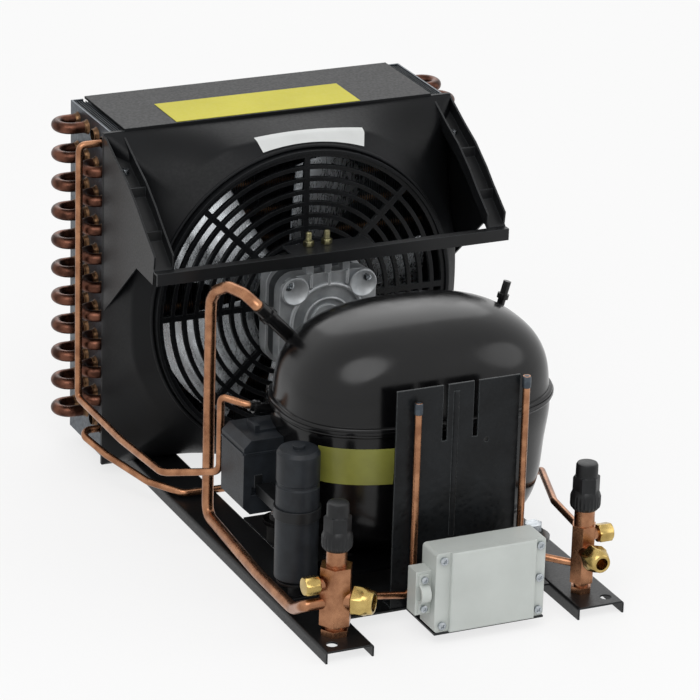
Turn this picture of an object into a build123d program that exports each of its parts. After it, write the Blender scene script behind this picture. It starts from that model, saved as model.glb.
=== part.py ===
from build123d import *
import math
import os

# Refrigeration condensing unit.
# Frame: +X to the unit's right, +Y back towards the condenser, +Z up.
# Origin: middle of the overall box, on the floor.  Millimetres throughout.

# ---- base rails and plates
RAIL_SPACING = 214.0
RAIL_WIDTH = 40.0
RAIL_HEIGHT = 10.0
RAIL_WALL = 1.5
RAIL_FRONT_Y = -239.5
RAIL_REAR_Y = 237.0
RAIL_FOLD_R = 2.5
BOLT_SPACING_X = 234.0
BOLT_SPACING_Y = 450.0
BOLT_MID_Y = -3.0
BOLT_HOLE_R = 4.5
CROSS_FRONT_Y = -190.0
CROSS_REAR_Y = 12.0
CROSS_THICK = 1.5

# ---- compressor
SHELL_X = 11.0
SHELL_Y = -86.5
SHELL_HALF_LENGTH = 110.0
SHELL_HALF_WIDTH = 73.0
SHELL_BOTTOM_Z = 28.0
SEAM_Z = 145.0
SHELL_TOP_Z = 218.0
SHELL_WALL = 3.0
SEAM_LIP = 4.0
SEAM_THICK = 2.2
OVAL_POWER = 2.6
OVAL_POINTS = 24
GROMMET_X = 88.0
GROMMET_Y = 50.0
GROMMET_R = 10.0
FOOT_THICK = 3.0
FOOT_BOLT_R = 4.0

# ---- relay cover and start capacitor at the compressor's left end
RELAY_LEFT_X = -133.0
RELAY_FRONT_Y = -91.5
RELAY_DEPTH = 44.0
RELAY_BOTTOM_Z = 62.0
RELAY_TOP_Z = 124.0
CAPACITOR_X = -108.0
CAPACITOR_Y = -138.5
CAPACITOR_R = 17.0
CAPACITOR_BOTTOM_Z = 25.0
CAPACITOR_TOP_Z = 134.0

# ---- bracket plate in front of the compressor
PLATE_LEFT_X = -50.0
PLATE_WIDTH = 104.0
PLATE_THICK = 1.6
PLATE_TOP_Z = 191.0
PLATE_SLOT_WIDTH = 4.2
PLATE_SLOT_BOTTOM_Z = 145.0
PLATE_SLOTS_X = (-9.0, 17.0)
PLATE_RIB_R = 2.4

# ---- condenser coil
COIL_HALF_WIDTH = 149.0
SHEET_THICK = 1.5
COIL_FRONT_Y = 156.0
COIL_REAR_Y = 242.5
COIL_TOP_Z = 300.0
COIL_ROW_PITCH = 25.0
COIL_FIRST_ROW_Z = 38.6
COIL_TOP_MARGIN = 11.0
COIL_ROWS = 1 + int((COIL_TOP_Z - COIL_TOP_MARGIN - COIL_FIRST_ROW_Z) // COIL_ROW_PITCH)
COIL_COLUMNS_Y = (163.0, 184.0, 205.0, 226.0)
COIL_TUBE_R = 4.75
COIL_REACH = COIL_HALF_WIDTH + 26.5
COIL_FRONT_REACH = COIL_HALF_WIDTH + 19.0
FIN_SLOT_PITCH = 12.0
FIN_SLOT_WIDTH = 5.0
FIN_SLOT_DEPTH = 6.0
FIN_SETBACK = 5.0

# ---- fan, guard and shroud
FAN_AXIS_Z = 155.0
RING_R = 131.0
SHROUD_WALL = 2.5
SHROUD_HALF_WIDTH = 155.0
FLANGE_FRONT_Y = 152.5
RING_FRONT_Y = 94.0
COLLAR_LENGTH = 8.0
FUNNEL_HALF_WIDTH = 137.5
FUNNEL_BOTTOM_Z = 14.0
FUNNEL_TOP_Z = 285.0
FUNNEL_CORNER_R = 30.0
TOP_PLATE_HALF_WIDTH = 137.0
TOP_PLATE_THICK = 2.0
GUARD_THICK = 3.5
GUARD_RING_WIDTH = 3.6
GUARD_RING_PITCH = 10.4
GUARD_RINGS = 9
GUARD_SPOKES = 8
GUARD_SPOKE_WIDTH = 5.0
BLADE_R = 121.0
BLADE_ROOT_R = 33.0
BLADE_COUNT = 5
BLADE_THICK = 1.6
BLADE_SPAN_DEG = 52.0
BLADE_PITCH_DEG = 24.0
HUB_R = 34.0
HUB_FRONT_Y = 114.0
HUB_LENGTH = 20.0

# ---- fan motor and its bracket
MOTOR_SIDE = 85.0
MOTOR_FRONT_Y = 49.5
SHIELD_LENGTH = 12.0
STATOR_LENGTH = 16.0
SHIELD_CORNER_R = 16.0
MOTOR_SCREW_SPACING = 70.0
ROTOR_R = 24.0
AIR_GAP = 0.5
SHAFT_R = 4.0
SHAFT_RUNNING_FIT = 0.05
BEARING_R = 8.0
BAR_FRONT_Y = 35.5
BAR_DEPTH = 26.0
BAR_TOP_Z = 220.0
BAR_HEIGHT = 10.0
BAR_WALL = 1.5
LUGS_X = (-16.0, 0.0, 16.0)
LUG_WIDTH = 6.0
ARM_OUTER_X = 155.0
ARM_WIDTH = 17.0
ARM_WALL = 1.5
ARM_CHANNEL_DEPTH = 13.0

# ---- service valves
VALVE_X = 107.0
LIQUID_VALVE_X = 104.0
VALVE_Y = -210.5
VALVE_SHOULDER_Z = 80.0
VALVE_STEM_R = 6.0
VALVE_STEM_TOP_Z = 92.0
SPINDLE_R = 3.0
SPINDLE_BOTTOM_Z = 70.0
SPINDLE_TOP_Z = 99.0
CAP_TOP_Z = 119.0
CAP_CLEARANCE = 0.4
SUCTION_BODY_AF = 23.0
LIQUID_BODY_AF = 17.5
SUCTION_FLARE_ANGLE = -42.0
SUCTION_FLARE_Z = 40.0
LIQUID_FLARE_Z = 46.0
SUCTION_NUT_AF = 22.0
LIQUID_NUT_AF = 19.0
SUCTION_NUT_BORE = 6.6
LIQUID_NUT_BORE = 5.0
PORT_CAP_R = 6.0

# ---- pipes
SUCTION_PIPE_R = 4.75
DISCHARGE_PIPE_R = 3.0
LIQUID_PIPE_R = 3.0
PRESSURE_TUBE_R = 2.9
PRESSURE_TUBE_Y = -193.0

# ---- junction box
BOX_LEFT_X = -37.0
BOX_WIDTH = 93.0
BOX_HEIGHT = 66.0
BOX_FRONT_Y = -242.5
BOX_DEPTH = 28.0
BOX_WALL = 2.5
LID_PLATE = 2.5
LID_PANEL = 3.5
LID_MARGIN_LEFT = 12.0
LID_MARGIN_RIGHT = 9.0

FACE_GAP = 0.3

RAIL_TOP = RAIL_HEIGHT
RAIL_INNER_X = (RAIL_SPACING - RAIL_WIDTH) / 2
FLANGE_REAR_Y = COIL_FRONT_Y
MOTOR_REAR_Y = MOTOR_FRONT_Y + 2 * SHIELD_LENGTH + STATOR_LENGTH

nodes = {}


def box(x0, x1, y0, y1, z0, z1):
    """A block between two opposite corners."""
    size = (x1 - x0, y1 - y0, z1 - z0)
    return Pos((x0 + x1) / 2, (y0 + y1) / 2, (z0 + z1) / 2) * Box(*size)


def rod(start, direction, radius, length):
    """A round bar from a point along a direction."""
    return extrude(Plane(origin=start, z_dir=direction) * Circle(radius), length)


def hex_bar(start, direction, across_flats, length, turn=0.0):
    """A hexagonal bar from a point along a direction."""
    outline = Rot(0, 0, turn) * RegularPolygon(across_flats / 2, 6, major_radius=False)
    return extrude(Plane(origin=start, z_dir=direction) * outline, length)


def pipe(points, radius, bend):
    """A round pipe along straight runs joined by bends."""
    path = FilletPolyline(*points, radius=bend)
    section = Plane(origin=path @ 0, z_dir=path % 0) * Circle(radius)
    return sweep(section, path=path)


def turned(profile, x, y):
    """A turned piece about a vertical axis, from (radius, height) points."""
    outline = Plane.XZ * make_face(Polyline(*profile, close=True))
    return Pos(x, y, 0) * revolve(outline, Axis.Z)


def oval_section(half_x, half_y, z):
    """One closed oval, fuller than an ellipse, about the compressor's axis."""
    points = []
    for i in range(OVAL_POINTS):
        a = 2 * math.pi * (i + 0.5) / OVAL_POINTS
        c = math.cos(a)
        s = math.sin(a)
        px = half_x * math.copysign(abs(c) ** (2 / OVAL_POWER), c)
        py = half_y * math.copysign(abs(s) ** (2 / OVAL_POWER), s)
        points.append((SHELL_X + px, SHELL_Y + py, z))
    return make_face(Spline(*points, periodic=True))


def oval_body(stations, inset):
    """A lofted oval body; each station is (share of full size, height)."""
    sections = []
    for share, z in stations:
        half_x = SHELL_HALF_LENGTH * share - inset
        half_y = SHELL_HALF_WIDTH * share - inset
        sections.append(oval_section(half_x, half_y, z))
    return loft(sections)


def dome_stations(top_z):
    """Shares of full size up the dome, following the same oval power."""
    stations = [(1.0, SEAM_Z)]
    for k in (0.35, 0.6, 0.8, 0.92, 0.98):
        share = (1 - k ** OVAL_POWER) ** (1 / OVAL_POWER)
        stations.append((share, SEAM_Z + k * (top_z - SEAM_Z)))
    stations.append((0.2, top_z))
    return stations


def pan_stations(bottom_z):
    """Shares of full size down the lower shell."""
    height = SEAM_Z - bottom_z
    return [(0.5, bottom_z), (0.72, bottom_z + 0.07 * height), (0.88, bottom_z + 0.2 * height),
            (0.96, bottom_z + 0.42 * height), (0.99, bottom_z + 0.7 * height), (1.0, SEAM_Z)]


def rails():
    for side, name in ((-1, "rail_left"), (1, "rail_right")):
        x = side * RAIL_SPACING / 2
        half = RAIL_WIDTH / 2
        bar = box(x - half, x + half, RAIL_FRONT_Y, RAIL_REAR_Y, 0, RAIL_HEIGHT)
        bar = fillet(bar.edges().filter_by(Axis.Y).group_by(Axis.Z)[-1], RAIL_FOLD_R)
        inner = half - RAIL_WALL
        bar -= box(x - inner, x + inner, RAIL_FRONT_Y - 1, RAIL_REAR_Y + 1, -1, RAIL_HEIGHT - RAIL_WALL)
        for end in (-1, 1):
            centre = (side * BOLT_SPACING_X / 2, BOLT_MID_Y + end * BOLT_SPACING_Y / 2, -1)
            bar -= rod(centre, (0, 0, 1), BOLT_HOLE_R, RAIL_HEIGHT + 2)
        nodes[name] = bar


def base_plates():
    z0 = RAIL_TOP - CROSS_THICK
    plate = box(-RAIL_INNER_X, RAIL_INNER_X, CROSS_FRONT_Y, CROSS_REAR_Y, z0, RAIL_TOP)
    tongue_front = BOX_FRONT_Y + 2.5
    plate += box(BOX_LEFT_X, BOX_LEFT_X + BOX_WIDTH, tongue_front, CROSS_FRONT_Y, z0, RAIL_TOP)
    nodes["cross_plate"] = plate

    right = PLATE_LEFT_X + PLATE_WIDTH
    y1 = CROSS_FRONT_Y + 2 * PLATE_THICK
    y0 = y1 - PLATE_THICK
    bracket = box(PLATE_LEFT_X, right, y0, y1, RAIL_TOP, PLATE_TOP_Z)
    for x in PLATE_SLOTS_X:
        half = PLATE_SLOT_WIDTH / 2
        bracket -= box(x - half, x + half, y0 - 1, y1 + 1, PLATE_SLOT_BOTTOM_Z, PLATE_TOP_Z + 1)
    rib_bottom = 65.0
    rib_length = PLATE_TOP_Z - 6 - rib_bottom
    rib = rod((0, y0 + 0.6, rib_bottom), (0, 0, 1), PLATE_RIB_R, rib_length)
    bracket += rib & box(-5, 5, y0 - 5, y0 + 0.2, rib_bottom, PLATE_TOP_Z)
    bracket -= rod((27, y0 - 1, 141), (0, 1, 0), 2.0, PLATE_THICK + 2)
    foot_depth = 12.0
    foot = box(PLATE_LEFT_X, right, y1, y1 + foot_depth, RAIL_TOP, RAIL_TOP + PLATE_THICK)
    nodes["bracket_plate"] = bracket + foot

    heads = []
    for x in (PLATE_LEFT_X + 12, 2.0, right - 12):
        start = (x, y1 + foot_depth / 2, RAIL_TOP + PLATE_THICK)
        heads.append(rod(start, (0, 0, 1), 3.5, 2.4))
    return heads


def compressor():
    lower = oval_body(pan_stations(SHELL_BOTTOM_Z), 0)
    upper = oval_body(dome_stations(SHELL_TOP_Z), 0)
    lip_x = SHELL_HALF_LENGTH + SEAM_LIP
    lip_y = SHELL_HALF_WIDTH + SEAM_LIP
    lower_lip = extrude(oval_section(lip_x, lip_y, SEAM_Z - SEAM_THICK), SEAM_THICK)
    upper_lip = extrude(oval_section(lip_x - 1, lip_y - 1, SEAM_Z), SEAM_THICK)
    envelope = lower + upper
    lower_hollow = oval_body(pan_stations(SHELL_BOTTOM_Z + SHELL_WALL), SHELL_WALL)
    upper_hollow = oval_body(dome_stations(SHELL_TOP_Z - SHELL_WALL), SHELL_WALL)
    nodes["compressor_lower_shell"] = (lower + lower_lip) - lower_hollow
    nodes["compressor_upper_shell"] = (upper + upper_lip) - upper_hollow

    # motor and pump hang together on four springs inside the sealed shell
    spring_bottom = SHELL_BOTTOM_Z + SHELL_WALL
    stator_z = 62.0
    stator_height = 46.0
    springs = []
    for sx in (-1, 1):
        for sy in (-1, 1):
            start = (SHELL_X + sx * 25, SHELL_Y + sy * 17, spring_bottom)
            springs.append(rod(start, (0, 0, 1), 6, stator_z - spring_bottom))
    nodes["pump_springs"] = Compound(children=springs)
    nodes["compressor_stator"] = rod((SHELL_X, SHELL_Y, stator_z), (0, 0, 1), 46, stator_height)
    pump_z = stator_z + stator_height
    pump = box(SHELL_X - 48, SHELL_X + 48, SHELL_Y - 30, SHELL_Y + 30, pump_z, pump_z + 28)
    pump += rod((SHELL_X, SHELL_Y, pump_z + 28), (0, 0, 1), 24, 16)
    nodes["compressor_pump"] = pump
    return envelope


def compressor_feet():
    z0 = SHELL_BOTTOM_Z - FOOT_THICK
    plate = extrude(Pos(SHELL_X, SHELL_Y, z0) * RectangleRounded(130, 76, 12), FOOT_THICK)
    for sy in (-1, 1):
        ear = RectangleRounded(2 * GROMMET_X + 26, 28, 13)
        plate += extrude(Pos(SHELL_X, SHELL_Y + sy * GROMMET_Y, z0) * ear, FOOT_THICK)
    grommets = []
    bolts = []
    neck = 6.6
    for sx in (-1, 1):
        for sy in (-1, 1):
            x = SHELL_X + sx * GROMMET_X
            y = SHELL_Y + sy * GROMMET_Y
            plate -= rod((x, y, z0 - 1), (0, 0, 1), neck, FOOT_THICK + 2)
            bore = FOOT_BOLT_R + 0.1
            above = z0 + FOOT_THICK
            profile = [(bore, RAIL_TOP), (GROMMET_R, RAIL_TOP), (GROMMET_R, z0), (neck, z0),
                       (neck, above), (GROMMET_R - 2, above), (GROMMET_R - 2, above + 4), (bore, above + 4)]
            grommets.append(turned(profile, x, y))
            bolt = rod((x, y, RAIL_TOP), (0, 0, 1), FOOT_BOLT_R, above + 4 - RAIL_TOP)
            bolt += hex_bar((x, y, above + 4), (0, 0, 1), 13, 5.5)
            bolts.append(bolt)
    nodes["compressor_feet"] = plate
    nodes["rubber_grommets"] = Compound(children=grommets)
    nodes["grommet_bolts"] = Compound(children=bolts)


SUCTION_STUB = ((-66, -39.5, 177), (-100, -39.5, 213))
DISCHARGE_STUB = ((-84, -58, 130), (-114, -56, 138))
PROCESS_STUB = ((101, -54, 184), (109, -54, 212))


def stub(ends, radius, bead_at, envelope):
    """A short copper connector brazed to the shell, with a raised bead."""
    start = Vector(*ends[0])
    run = Vector(*ends[1]) - start
    direction = run.normalized()
    piece = rod(start, direction, radius, run.length)
    piece += rod(start + direction * (run.length * bead_at), direction, radius + 1.5, 4)
    return piece - envelope


def connectors(envelope):
    nodes["suction_connector"] = stub(SUCTION_STUB, SUCTION_PIPE_R + 1, 0.72, envelope)
    nodes["discharge_connector"] = stub(DISCHARGE_STUB, DISCHARGE_PIPE_R + 1, 0.75, envelope)
    nodes["process_tube"] = stub(PROCESS_STUB, 3.2, 0.5, envelope)


def electrics(envelope):
    rear = RELAY_FRONT_Y + RELAY_DEPTH
    inner_x = SHELL_X - SHELL_HALF_LENGTH + 8
    cover = box(RELAY_LEFT_X, inner_x, RELAY_FRONT_Y, rear, RELAY_BOTTOM_Z, RELAY_TOP_Z)
    left = cover.edges().filter_by(Axis.Y).group_by(Axis.X)[0]
    cover = chamfer(left, 6)
    window = box(-126, -119, RELAY_FRONT_Y - 1, RELAY_FRONT_Y + 4, 78, 85)
    nodes["relay_cover"] = cover - envelope - window
    clip_y = (RELAY_FRONT_Y + rear) / 2
    clip = box(-118, inner_x - 6, clip_y - 8, clip_y + 8, RELAY_TOP_Z, RELAY_TOP_Z + 2)
    clip += box(-118, -114, clip_y - 8, clip_y + 8, RELAY_TOP_Z, RELAY_TOP_Z + 6)
    nodes["relay_clip"] = clip - envelope

    r = CAPACITOR_R
    top = CAPACITOR_TOP_Z
    low = CAPACITOR_BOTTOM_Z
    rim = 1.2
    profile = [(0, low), (r - 3, low), (r, low + 3), (r, top - 30), (r - rim, top - 29),
               (r - rim, top - 27), (r, top - 26), (r, top - 3), (r - 2, top), (5, top),
               (5, top + 3), (0, top + 3)]
    nodes["start_capacitor"] = turned(profile, CAPACITOR_X, CAPACITOR_Y)
    strap_z = 78.0
    foot = box(CAPACITOR_X - 10, CAPACITOR_X + 14, CAPACITOR_Y - 10, CAPACITOR_Y + 10, RAIL_TOP, RAIL_TOP + 2)
    cup = rod((CAPACITOR_X, CAPACITOR_Y, low - 2), (0, 0, 1), r - 2, 2)
    stem = rod((CAPACITOR_X, CAPACITOR_Y, RAIL_TOP), (0, 0, 1), 6, low - 1 - RAIL_TOP)
    band = rod((CAPACITOR_X, CAPACITOR_Y, strap_z), (0, 0, 1), r + 1.5, 9)
    band -= rod((CAPACITOR_X, CAPACITOR_Y, strap_z - 1), (0, 0, 1), r, 11)
    link = box(CAPACITOR_X - 14, CAPACITOR_X - 2, CAPACITOR_Y + 12, RELAY_FRONT_Y, strap_z, strap_z + 9)
    link -= rod((CAPACITOR_X, CAPACITOR_Y, strap_z - 1), (0, 0, 1), r, 11)
    nodes["capacitor_bracket"] = Compound(children=[foot + cup + stem, band + link])


def coil():
    x1 = COIL_HALF_WIDTH
    x0 = x1 - SHEET_THICK
    for side, name in ((-1, "tube_sheet_left"), (1, "tube_sheet_right")):
        a, b = sorted((side * x0, side * x1))
        sheet = box(a, b, COIL_FRONT_Y, COIL_REAR_Y, RAIL_TOP, COIL_TOP_Z)
        c, d = sorted((side * (x0 - 9), side * x0))
        sheet += box(c, d, COIL_REAR_Y - SHEET_THICK, COIL_REAR_Y, RAIL_TOP, COIL_TOP_Z)
        nodes[name] = sheet
    fin_front = COIL_FRONT_Y + 1
    fin_rear = COIL_REAR_Y - FIN_SETBACK
    fins = box(-x0, x0, fin_front, fin_rear, RAIL_TOP, COIL_TOP_Z)
    count = int((2 * x0 - FIN_SLOT_PITCH) / FIN_SLOT_PITCH)
    cuts = []
    for i in range(count):
        x = (i - (count - 1) / 2) * FIN_SLOT_PITCH
        half = FIN_SLOT_WIDTH / 2
        cuts.append(box(x - half, x + half, fin_rear - FIN_SLOT_DEPTH, fin_rear + 1, RAIL_TOP - 1, COIL_TOP_Z + 1))
    nodes["coil_fins"] = fins - cuts

    for side, name in ((-1, "coil_bends_left"), (1, "coil_bends_right")):
        bends = []
        for pair, tip in ((COIL_COLUMNS_Y[:2], COIL_FRONT_REACH), (COIL_COLUMNS_Y[2:], COIL_REACH)):
            mid = sum(pair) / 2
            half = (pair[1] - pair[0]) / 2
            for row in range(COIL_ROWS):
                at_end = row in (0, COIL_ROWS - 1)
                if side < 0 and at_end and pair == COIL_COLUMNS_Y[:2]:
                    continue
                z = COIL_FIRST_ROW_Z + row * COIL_ROW_PITCH
                reach = tip - COIL_TUBE_R - half
                start = (side * x1, mid - half, z)
                leg = Line(start, (side * reach, mid - half, z))
                turn = ThreePointArc(leg @ 1, (side * (reach + half), mid, z), (side * reach, mid + half, z))
                back = Line(turn @ 1, (side * x1, mid + half, z))
                path = leg + turn + back
                section = Plane(origin=start, z_dir=(side, 0, 0)) * Circle(COIL_TUBE_R)
                bends.append(sweep(section, path=path))
        nodes[name] = Compound(children=bends)


def shroud():
    mid_z = (FUNNEL_BOTTOM_Z + FUNNEL_TOP_Z) / 2
    height = FUNNEL_TOP_Z - FUNNEL_BOTTOM_Z
    collar_rear = RING_FRONT_Y + COLLAR_LENGTH

    def funnel(inset):
        rear = Plane.XZ.offset(-FLANGE_FRONT_Y) * Pos(0, mid_z) * RectangleRounded(
            2 * (FUNNEL_HALF_WIDTH - inset), height - 2 * inset, FUNNEL_CORNER_R - inset)
        front = Plane.XZ.offset(-collar_rear) * Pos(0, FAN_AXIS_Z) * Circle(RING_R - inset)
        return loft([rear, front])

    def collar(radius):
        return rod((0, RING_FRONT_Y, FAN_AXIS_Z), (0, 1, 0), radius, COLLAR_LENGTH)

    half = SHROUD_HALF_WIDTH
    body = box(-half, half, FLANGE_FRONT_Y, FLANGE_REAR_Y, RAIL_TOP, COIL_TOP_Z)
    inner = FUNNEL_HALF_WIDTH - SHROUD_WALL
    throat = Pos(0, 0, mid_z) * Rot(90, 0, 0) * RectangleRounded(
        2 * inner, height - 2 * SHROUD_WALL, FUNNEL_CORNER_R - SHROUD_WALL)
    body -= extrude(Pos(0, FLANGE_REAR_Y + 1, 0) * throat, 8)
    body += funnel(0) + collar(RING_R)
    body -= funnel(SHROUD_WALL)
    body -= collar(RING_R - SHROUD_WALL)
    wide = TOP_PLATE_HALF_WIDTH
    body += box(-wide, wide, FLANGE_FRONT_Y, COIL_REAR_Y, COIL_TOP_Z, COIL_TOP_Z + TOP_PLATE_THICK)
    nodes["shroud"] = body


def fan_guard():
    outer = RING_R - SHROUD_WALL - 0.1
    y0 = RING_FRONT_Y + 2

    def ring(r_out, r_in):
        return extrude(Plane(origin=(0, y0, FAN_AXIS_Z), z_dir=(0, 1, 0)) * (Circle(r_out) - Circle(r_in)), GUARD_THICK)

    guard = ring(outer, outer - GUARD_RING_WIDTH)
    for i in range(1, GUARD_RINGS):
        r = outer - i * GUARD_RING_PITCH
        guard += ring(r, r - GUARD_RING_WIDTH)
    inner = outer - (GUARD_RINGS - 1) * GUARD_RING_PITCH - GUARD_RING_WIDTH
    for i in range(GUARD_SPOKES):
        spoke = box(inner + 0.5, outer - 1, y0, y0 + GUARD_THICK, -GUARD_SPOKE_WIDTH / 2, GUARD_SPOKE_WIDTH / 2)
        guard += Pos(0, 0, FAN_AXIS_Z) * Rot(0, i * 360 / GUARD_SPOKES + 90, 0) * spoke
    nodes["fan_guard"] = guard


def fan():
    y0 = HUB_FRONT_Y
    hub = rod((0, y0, FAN_AXIS_Z), (0, 1, 0), HUB_R - 4, HUB_LENGTH)
    hub = fillet(hub.edges().group_by(Axis.Y)[0], 3)
    hub -= rod((0, y0 - 1, FAN_AXIS_Z), (0, 1, 0), SHAFT_R, HUB_LENGTH + 2)
    nodes["fan_hub"] = hub
    blades = []
    mid_y = y0 + HUB_LENGTH / 2
    for i in range(BLADE_COUNT):
        half = math.radians(BLADE_SPAN_DEG / 2)
        tip = BLADE_R * math.cos(math.radians(2))
        root_half = HUB_R * 0.45
        sweep_x = tip * math.sin(half)
        outline = make_face([
            Line((-root_half, HUB_R - 8), (root_half, HUB_R - 8)),
            Line((root_half, HUB_R - 8), (sweep_x, tip * math.cos(half) - 6)),
            ThreePointArc((sweep_x, tip * math.cos(half) - 6), (4, tip - 2), (-sweep_x + 8, tip * math.cos(half))),
            Line((-sweep_x + 8, tip * math.cos(half)), (-root_half, HUB_R - 8))])
        blade = extrude(Plane.XZ * outline, BLADE_THICK / 2, both=True)
        blade = Rot(0, 0, BLADE_PITCH_DEG) * blade
        blade = Pos(0, mid_y, FAN_AXIS_Z) * Rot(0, i * 360 / BLADE_COUNT + 18, 0) * blade
        blades.append(blade - rod((0, y0, FAN_AXIS_Z), (0, 1, 0), HUB_R - 4, HUB_LENGTH))
    nodes["fan_blades"] = Compound(children=blades)


def motor():
    half = MOTOR_SIDE / 2
    axis = (0, 1, 0)

    def square(y, length, side, corner):
        outline = Plane(origin=(0, y, FAN_AXIS_Z), z_dir=axis) * RectangleRounded(side, side, corner)
        return extrude(outline, length)

    stator_y = MOTOR_FRONT_Y + SHIELD_LENGTH
    rear_y = stator_y + STATOR_LENGTH
    front = square(MOTOR_FRONT_Y, SHIELD_LENGTH, MOTOR_SIDE, SHIELD_CORNER_R)
    front -= rod((0, MOTOR_FRONT_Y - 1, FAN_AXIS_Z), axis, 31, 3)
    front += rod((0, MOTOR_FRONT_Y, FAN_AXIS_Z), axis, 14, 4)
    for x in LUGS_X:
        lug_top = BAR_TOP_Z - BAR_WALL
        y0 = MOTOR_FRONT_Y + 1
        front += box(x - LUG_WIDTH / 2, x + LUG_WIDTH / 2, y0, y0 + 9, FAN_AXIS_Z + half - 4, lug_top)
    rear = square(rear_y, SHIELD_LENGTH, MOTOR_SIDE, SHIELD_CORNER_R)
    seat = BEARING_R + 0.02
    front -= rod((0, stator_y - 8, FAN_AXIS_Z), axis, seat, 9)
    rear -= rod((0, rear_y - 1, FAN_AXIS_Z), axis, seat, SHIELD_LENGTH + 2)
    screw_at = MOTOR_SCREW_SPACING / 2
    screws = []
    for sx in (-1, 1):
        for sz in (-1, 1):
            x = sx * screw_at
            z = FAN_AXIS_Z + sz * screw_at
            front -= rod((x, MOTOR_FRONT_Y - 1, z), axis, 6, 3.5)
            screws.append(hex_bar((x, MOTOR_FRONT_Y - 0.5, z), axis, 8, 3))
    nodes["motor_front_shield"] = front
    nodes["motor_rear_shield"] = rear
    nodes["motor_screws"] = Compound(children=screws)
    stator = square(stator_y, STATOR_LENGTH, MOTOR_SIDE - 5, SHIELD_CORNER_R)
    stator -= rod((0, stator_y - 1, FAN_AXIS_Z), axis, ROTOR_R + AIR_GAP, STATOR_LENGTH + 2)
    nodes["motor_stator"] = stator
    bearings = []
    for y in (stator_y - 8, rear_y + SHIELD_LENGTH - 8):
        ring = rod((0, y, FAN_AXIS_Z), axis, BEARING_R, 8)
        bearings.append(ring - rod((0, y - 1, FAN_AXIS_Z), axis, SHAFT_R + SHAFT_RUNNING_FIT, 10))
    nodes["motor_bearings"] = Compound(children=bearings)
    shaft_y = stator_y - 7.5
    shaft_end = HUB_FRONT_Y + HUB_LENGTH + 3
    nodes["motor_shaft"] = rod((0, shaft_y, FAN_AXIS_Z), axis, SHAFT_R, shaft_end - shaft_y)
    rotor = rod((0, stator_y + 1, FAN_AXIS_Z), axis, ROTOR_R, STATOR_LENGTH - 2)
    nodes["motor_rotor"] = rotor - rod((0, stator_y, FAN_AXIS_Z), axis, SHAFT_R, STATOR_LENGTH)


# side outline of an arm: top edge from the shroud flange down to the bar
ARM_TOP_EDGE = ((152.5, 299.0), (123.0, 284.0), (101.0, 274.0), (79.0, 259.5), (66.0, 249.0), (42.5, 232.0))
ARM_WING = ((45.5, 208.0), (80.0, 210.0), (152.5, 146.0))


def arm_wall(points, x0, thickness):
    outline = make_face(Polyline(*points, close=True))
    return extrude(Plane(origin=(x0, 0, 0), x_dir=(0, 1, 0), z_dir=(1, 0, 0)) * outline, thickness)


def motor_bracket(plate_heads):
    depth = ARM_CHANNEL_DEPTH
    lower_edge = [(y, z - depth) for y, z in reversed(ARM_TOP_EDGE)]
    floor_top = [(y, z - depth + ARM_WALL) for y, z in ARM_TOP_EDGE]
    for side, name in ((-1, "bracket_arm_left"), (1, "bracket_arm_right")):
        outer = side * ARM_OUTER_X
        inner = side * (ARM_OUTER_X - ARM_WIDTH)
        lo, hi = sorted((outer, inner))
        outer_x0 = lo if side < 0 else hi - ARM_WALL
        inner_x0 = hi - ARM_WALL if side < 0 else lo
        arm = arm_wall(list(ARM_TOP_EDGE) + list(ARM_WING), outer_x0, ARM_WALL)
        arm += arm_wall(list(ARM_TOP_EDGE) + lower_edge, inner_x0, ARM_WALL)
        arm += arm_wall(floor_top + lower_edge, lo, ARM_WIDTH)
        for y, z in (ARM_TOP_EDGE[2], ARM_TOP_EDGE[4]):
            arm += box(lo, hi, y - 1, y + 1, z - depth, z - 4)
        nodes[name] = arm
    wall = BAR_WALL
    y0 = BAR_FRONT_Y
    y1 = y0 + BAR_DEPTH
    low = BAR_TOP_Z - BAR_HEIGHT
    reach = ARM_OUTER_X
    bar = box(-reach, reach, y0, y0 + wall, low, BAR_TOP_Z)
    bar += box(-reach, reach, y0, ARM_TOP_EDGE[-1][0], BAR_TOP_Z - wall, BAR_TOP_Z)
    bar += box(-36, 36, y0, y1, BAR_TOP_Z - wall, BAR_TOP_Z)
    ends = nodes["bracket_arm_left"] + nodes["bracket_arm_right"]
    nodes["motor_bar"] = bar - ends
    studs = []
    for x in LUGS_X[:2]:
        stud_y = MOTOR_FRONT_Y + 5.5
        stud = rod((x, stud_y, BAR_TOP_Z), (0, 0, 1), 2.4, 12)
        stud += hex_bar((x, stud_y, BAR_TOP_Z), (0, 0, 1), 8, 4)
        studs.append(stud)
    nodes["motor_studs"] = Compound(children=studs)
    heads = list(plate_heads)
    for side in (-1, 1):
        x = side * (ARM_OUTER_X - ARM_WIDTH / 2)
        for index in (1, 4):
            y, z = ARM_TOP_EDGE[index]
            head = rod((x, y + 4, z - depth + ARM_WALL), (0, 0, 1), 3.4, 4.5)
            heads.append(head - ends)
    nodes["frame_screws"] = Compound(children=heads)


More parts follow.
